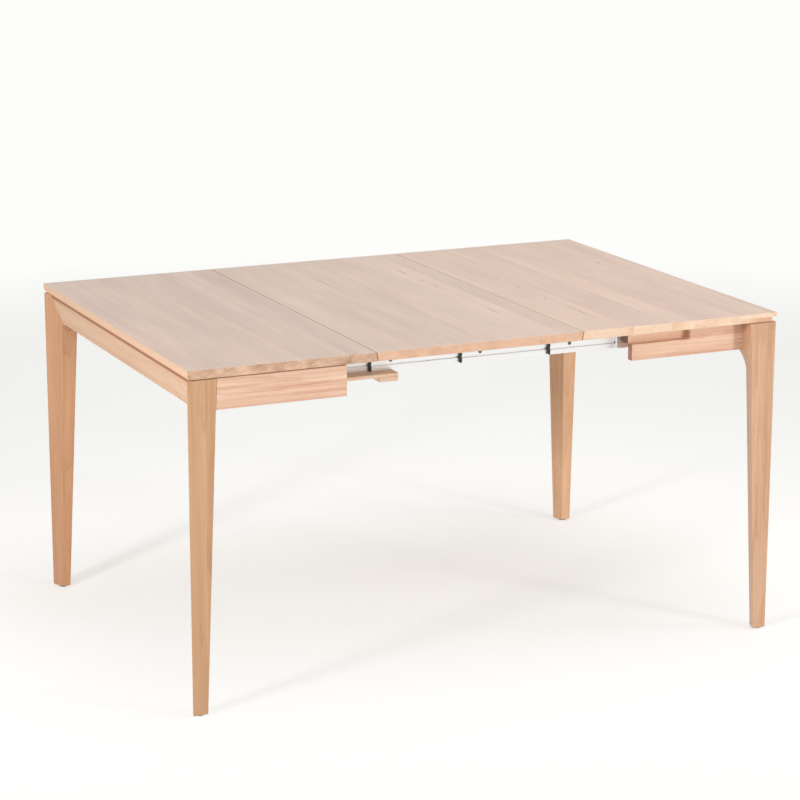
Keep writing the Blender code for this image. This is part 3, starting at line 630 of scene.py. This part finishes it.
def makeFloor():
    bpy.ops.object.select_all(action="DESELECT")
    bpy.ops.mesh.primitive_plane_add(size=floorLook["size"], location=(0.0, 0.0, 0.0))
    floor = bpy.context.object
    floor.name = "studioFloor"
    material, tree, shader = newMaterial("floorPaint")
    shader.inputs["Base Color"].default_value = colour(*floorLook["paint"])
    shader.inputs["Roughness"].default_value = floorLook["roughness"]
    shader.inputs["Specular IOR Level"].default_value = floorLook["specular"]
    glow = addNode(tree, "ShaderNodeEmission", {"Color": colour(*floorLook["shown"]), "Strength": 1.0})
    # share of the plain glow, least under the table so that its shadow shows there
    place = objectPlace(tree)
    inputs = {0: place, 1: floorLook["ahead"]}
    ahead = addNode(tree, "ShaderNodeVectorMath", inputs, operation="DOT_PRODUCT").outputs["Value"]
    behind = remap(tree, ahead, *floorLook["behind"], *floorLook["shares"])
    before = remap(tree, ahead, *floorLook["before"], *floorLook["shares"])
    outward = remap(tree, vectorLength(tree, place), *floorLook["round"], *floorLook["shares"])
    share = maths(tree, "MAXIMUM", maths(tree, "MAXIMUM", behind, before), outward)
    seen = seenRays(tree)
    pale = addNode(tree, "ShaderNodeBsdfDiffuse", {"Color": floorLook["seenPaint"]})
    paint = addNode(tree, "ShaderNodeMixShader", {0: seen, 1: shader.outputs[0], 2: pale.outputs[0]})
    blendInputs = {0: times(tree, seen, share), 1: paint.outputs[0], 2: glow.outputs[0]}
    blend = addNode(tree, "ShaderNodeMixShader", blendInputs)
    # clear from below, so that the underside of the table can be seen
    clear = addNode(tree, "ShaderNodeBsdfTransparent")
    below = addNode(tree, "ShaderNodeNewGeometry").outputs["Backfacing"]
    whole = addNode(tree, "ShaderNodeMixShader", {0: below, 1: blend.outputs[0], 2: clear.outputs[0]})
    tree.links.new(whole.outputs[0], tree.nodes["Material Output"].inputs["Surface"])
    floor.data.materials.append(material)


makeFloor()


# light: small soft boxes at both sides in front, a large one overhead, a pale room round them
# those at the right stay out of reflections, where they would glare on the top from behind
roomLook = {"light": (255, 253, 250), "strength": 0.36, "shown": (255, 255, 255)}
lampAim = (0.0, 0.0, 0.5)
lamps = {
    "softLeft": {"place": (-3.4, -1.6, 1.5), "size": 0.45, "power": 60.0, "glossy": True},
    "softRight": {"place": (2.6, -3.6, 1.15), "size": 0.6, "power": 54.0, "glossy": False},
    "softSide": {"place": (3.6, -1.9, 1.7), "size": 0.6, "power": 18.0, "glossy": False},
    "softTop": {"place": (0.4, -0.2, 3.6), "size": 2.8, "power": 46.0, "glossy": True},
}


def makeRoom():
    world = bpy.data.worlds.new("paleRoom")
    bpy.context.scene.world = world
    world.use_nodes = True
    tree = world.node_tree
    light = tree.nodes["Background"]
    light.inputs["Color"].default_value = colour(*roomLook["light"])
    light.inputs["Strength"].default_value = roomLook["strength"]
    shown = addNode(tree, "ShaderNodeBackground", {"Color": colour(*roomLook["shown"]), "Strength": 1.0})
    blendInputs = {0: seenRays(tree), 1: light.outputs[0], 2: shown.outputs[0]}
    blend = addNode(tree, "ShaderNodeMixShader", blendInputs)
    tree.links.new(blend.outputs[0], tree.nodes["World Output"].inputs["Surface"])


def makeLamp(name, lamp):
    light = bpy.data.lights.new(name, "AREA")
    light.shape = "SQUARE"
    light.size = lamp["size"]
    light.energy = lamp["power"]
    holder = bpy.data.objects.new(name, light)
    holder.location = lamp["place"]
    holder.visible_glossy = lamp["glossy"]
    sight = Vector(lampAim) - Vector(lamp["place"])
    holder.rotation_euler = sight.to_track_quat("-Z", "Y").to_euler()
    bpy.context.scene.collection.objects.link(holder)


makeRoom()
for lampName, lampLook in lamps.items():
    makeLamp(lampName, lampLook)


# camera, fitted to the table's corners; angles in degrees
cameraLook = {
    "place": (-2.4542, -5.3644, 1.9800), "yaw": 24.568, "pitch": 14.006, "roll": 0.079,
    "lens": 116.406, "sensor": 36.0,
}


def makeCamera():
    data = bpy.data.cameras.new("photoView")
    data.lens = cameraLook["lens"]
    data.sensor_width = cameraLook["sensor"]
    camera = bpy.data.objects.new("photoView", data)
    yaw, pitch, roll = (math.radians(cameraLook[angle]) for angle in ("yaw", "pitch", "roll"))
    level = math.cos(pitch)
    forward = Vector((math.sin(yaw) * level, math.cos(yaw) * level, -math.sin(pitch)))
    turn = forward.to_track_quat("-Z", "Y").to_matrix() @ Matrix.Rotation(roll, 3, "Z")
    camera.location = cameraLook["place"]
    camera.rotation_euler = turn.to_euler()
    bpy.context.scene.collection.objects.link(camera)
    bpy.context.scene.camera = camera


makeCamera()
bpy.context.scene.view_settings.view_transform = "Standard"
print("floor, light and camera set")
